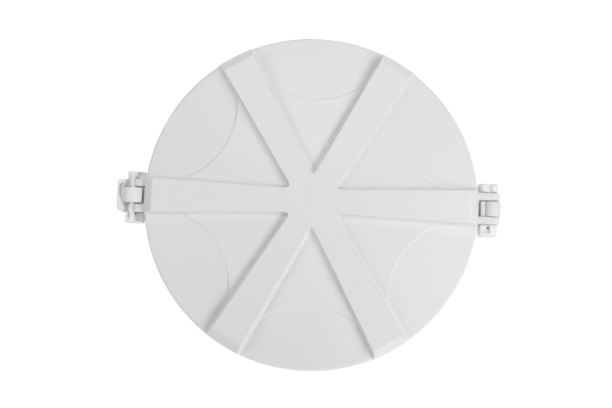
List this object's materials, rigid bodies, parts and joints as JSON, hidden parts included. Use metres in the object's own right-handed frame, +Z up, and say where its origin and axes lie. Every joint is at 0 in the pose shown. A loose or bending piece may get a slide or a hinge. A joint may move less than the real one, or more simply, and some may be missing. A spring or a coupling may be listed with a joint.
{
  "type": "water tank lid",
  "caption": "Round white plastic manhole lid with raised spokes, hinged to a neck collar on one side and held by a snap latch on the other.",
  "frame": {"origin": "on the collar's axis, at the flat face that the collar stands on", "axes": "+Z up along the collar's axis, out of the tank; +X towards the hinge, with the latch on the -X side; both pins lie along Y"},
  "size_m": [0.5201, 0.45, 0.075],
  "materials": {
    "lid_plastic": "satin moulded white polypropylene",
    "collar_plastic": "satin moulded white polypropylene",
    "latch_plastic": "smooth moulded white plastic",
    "pin_plastic": "smooth moulded white nylon",
    "seal_rubber": "matt black rubber",
    "screw_steel": "plain stainless steel"
  },
  "bodies": {
    "collar": {"collar_ring": "collar_plastic", "neck_seal": "seal_rubber", "lid_seal": "seal_rubber", "hinge_bracket": "collar_plastic", "hinge_bracket_screw_1": "screw_steel", "hinge_bracket_screw_2": "screw_steel", "latch_keeper": "collar_plastic", "keeper_screw_1": "screw_steel", "keeper_screw_2": "screw_steel", "collar_screw_1": "screw_steel", "collar_screw_2": "screw_steel", "collar_screw_3": "screw_steel", "collar_screw_4": "screw_steel", "collar_screw_5": "screw_steel", "collar_screw_6": "screw_steel"},
    "lid": {"lid_shell": "lid_plastic", "hinge_pin": "pin_plastic", "hinge_pin_cap": "pin_plastic", "latch_pin": "pin_plastic", "latch_pin_clip_upper": "pin_plastic", "latch_pin_clip_lower": "pin_plastic"},
    "latch": {"latch_lever": "latch_plastic"}
  },
  "joints": [
    {"name": "lid_hinge", "type": "hinge", "parent": "collar", "child": "lid", "pos_m": [0.245, 0, 0.05], "axis": [0, 1, 0], "range_deg": [0, 110]},
    {"name": "latch_swing", "type": "hinge", "parent": "lid", "child": "latch", "pos_m": [-0.242, 0, 0.05], "axis": [0, 1, 0], "range_deg": [0, 90]}
  ]
}
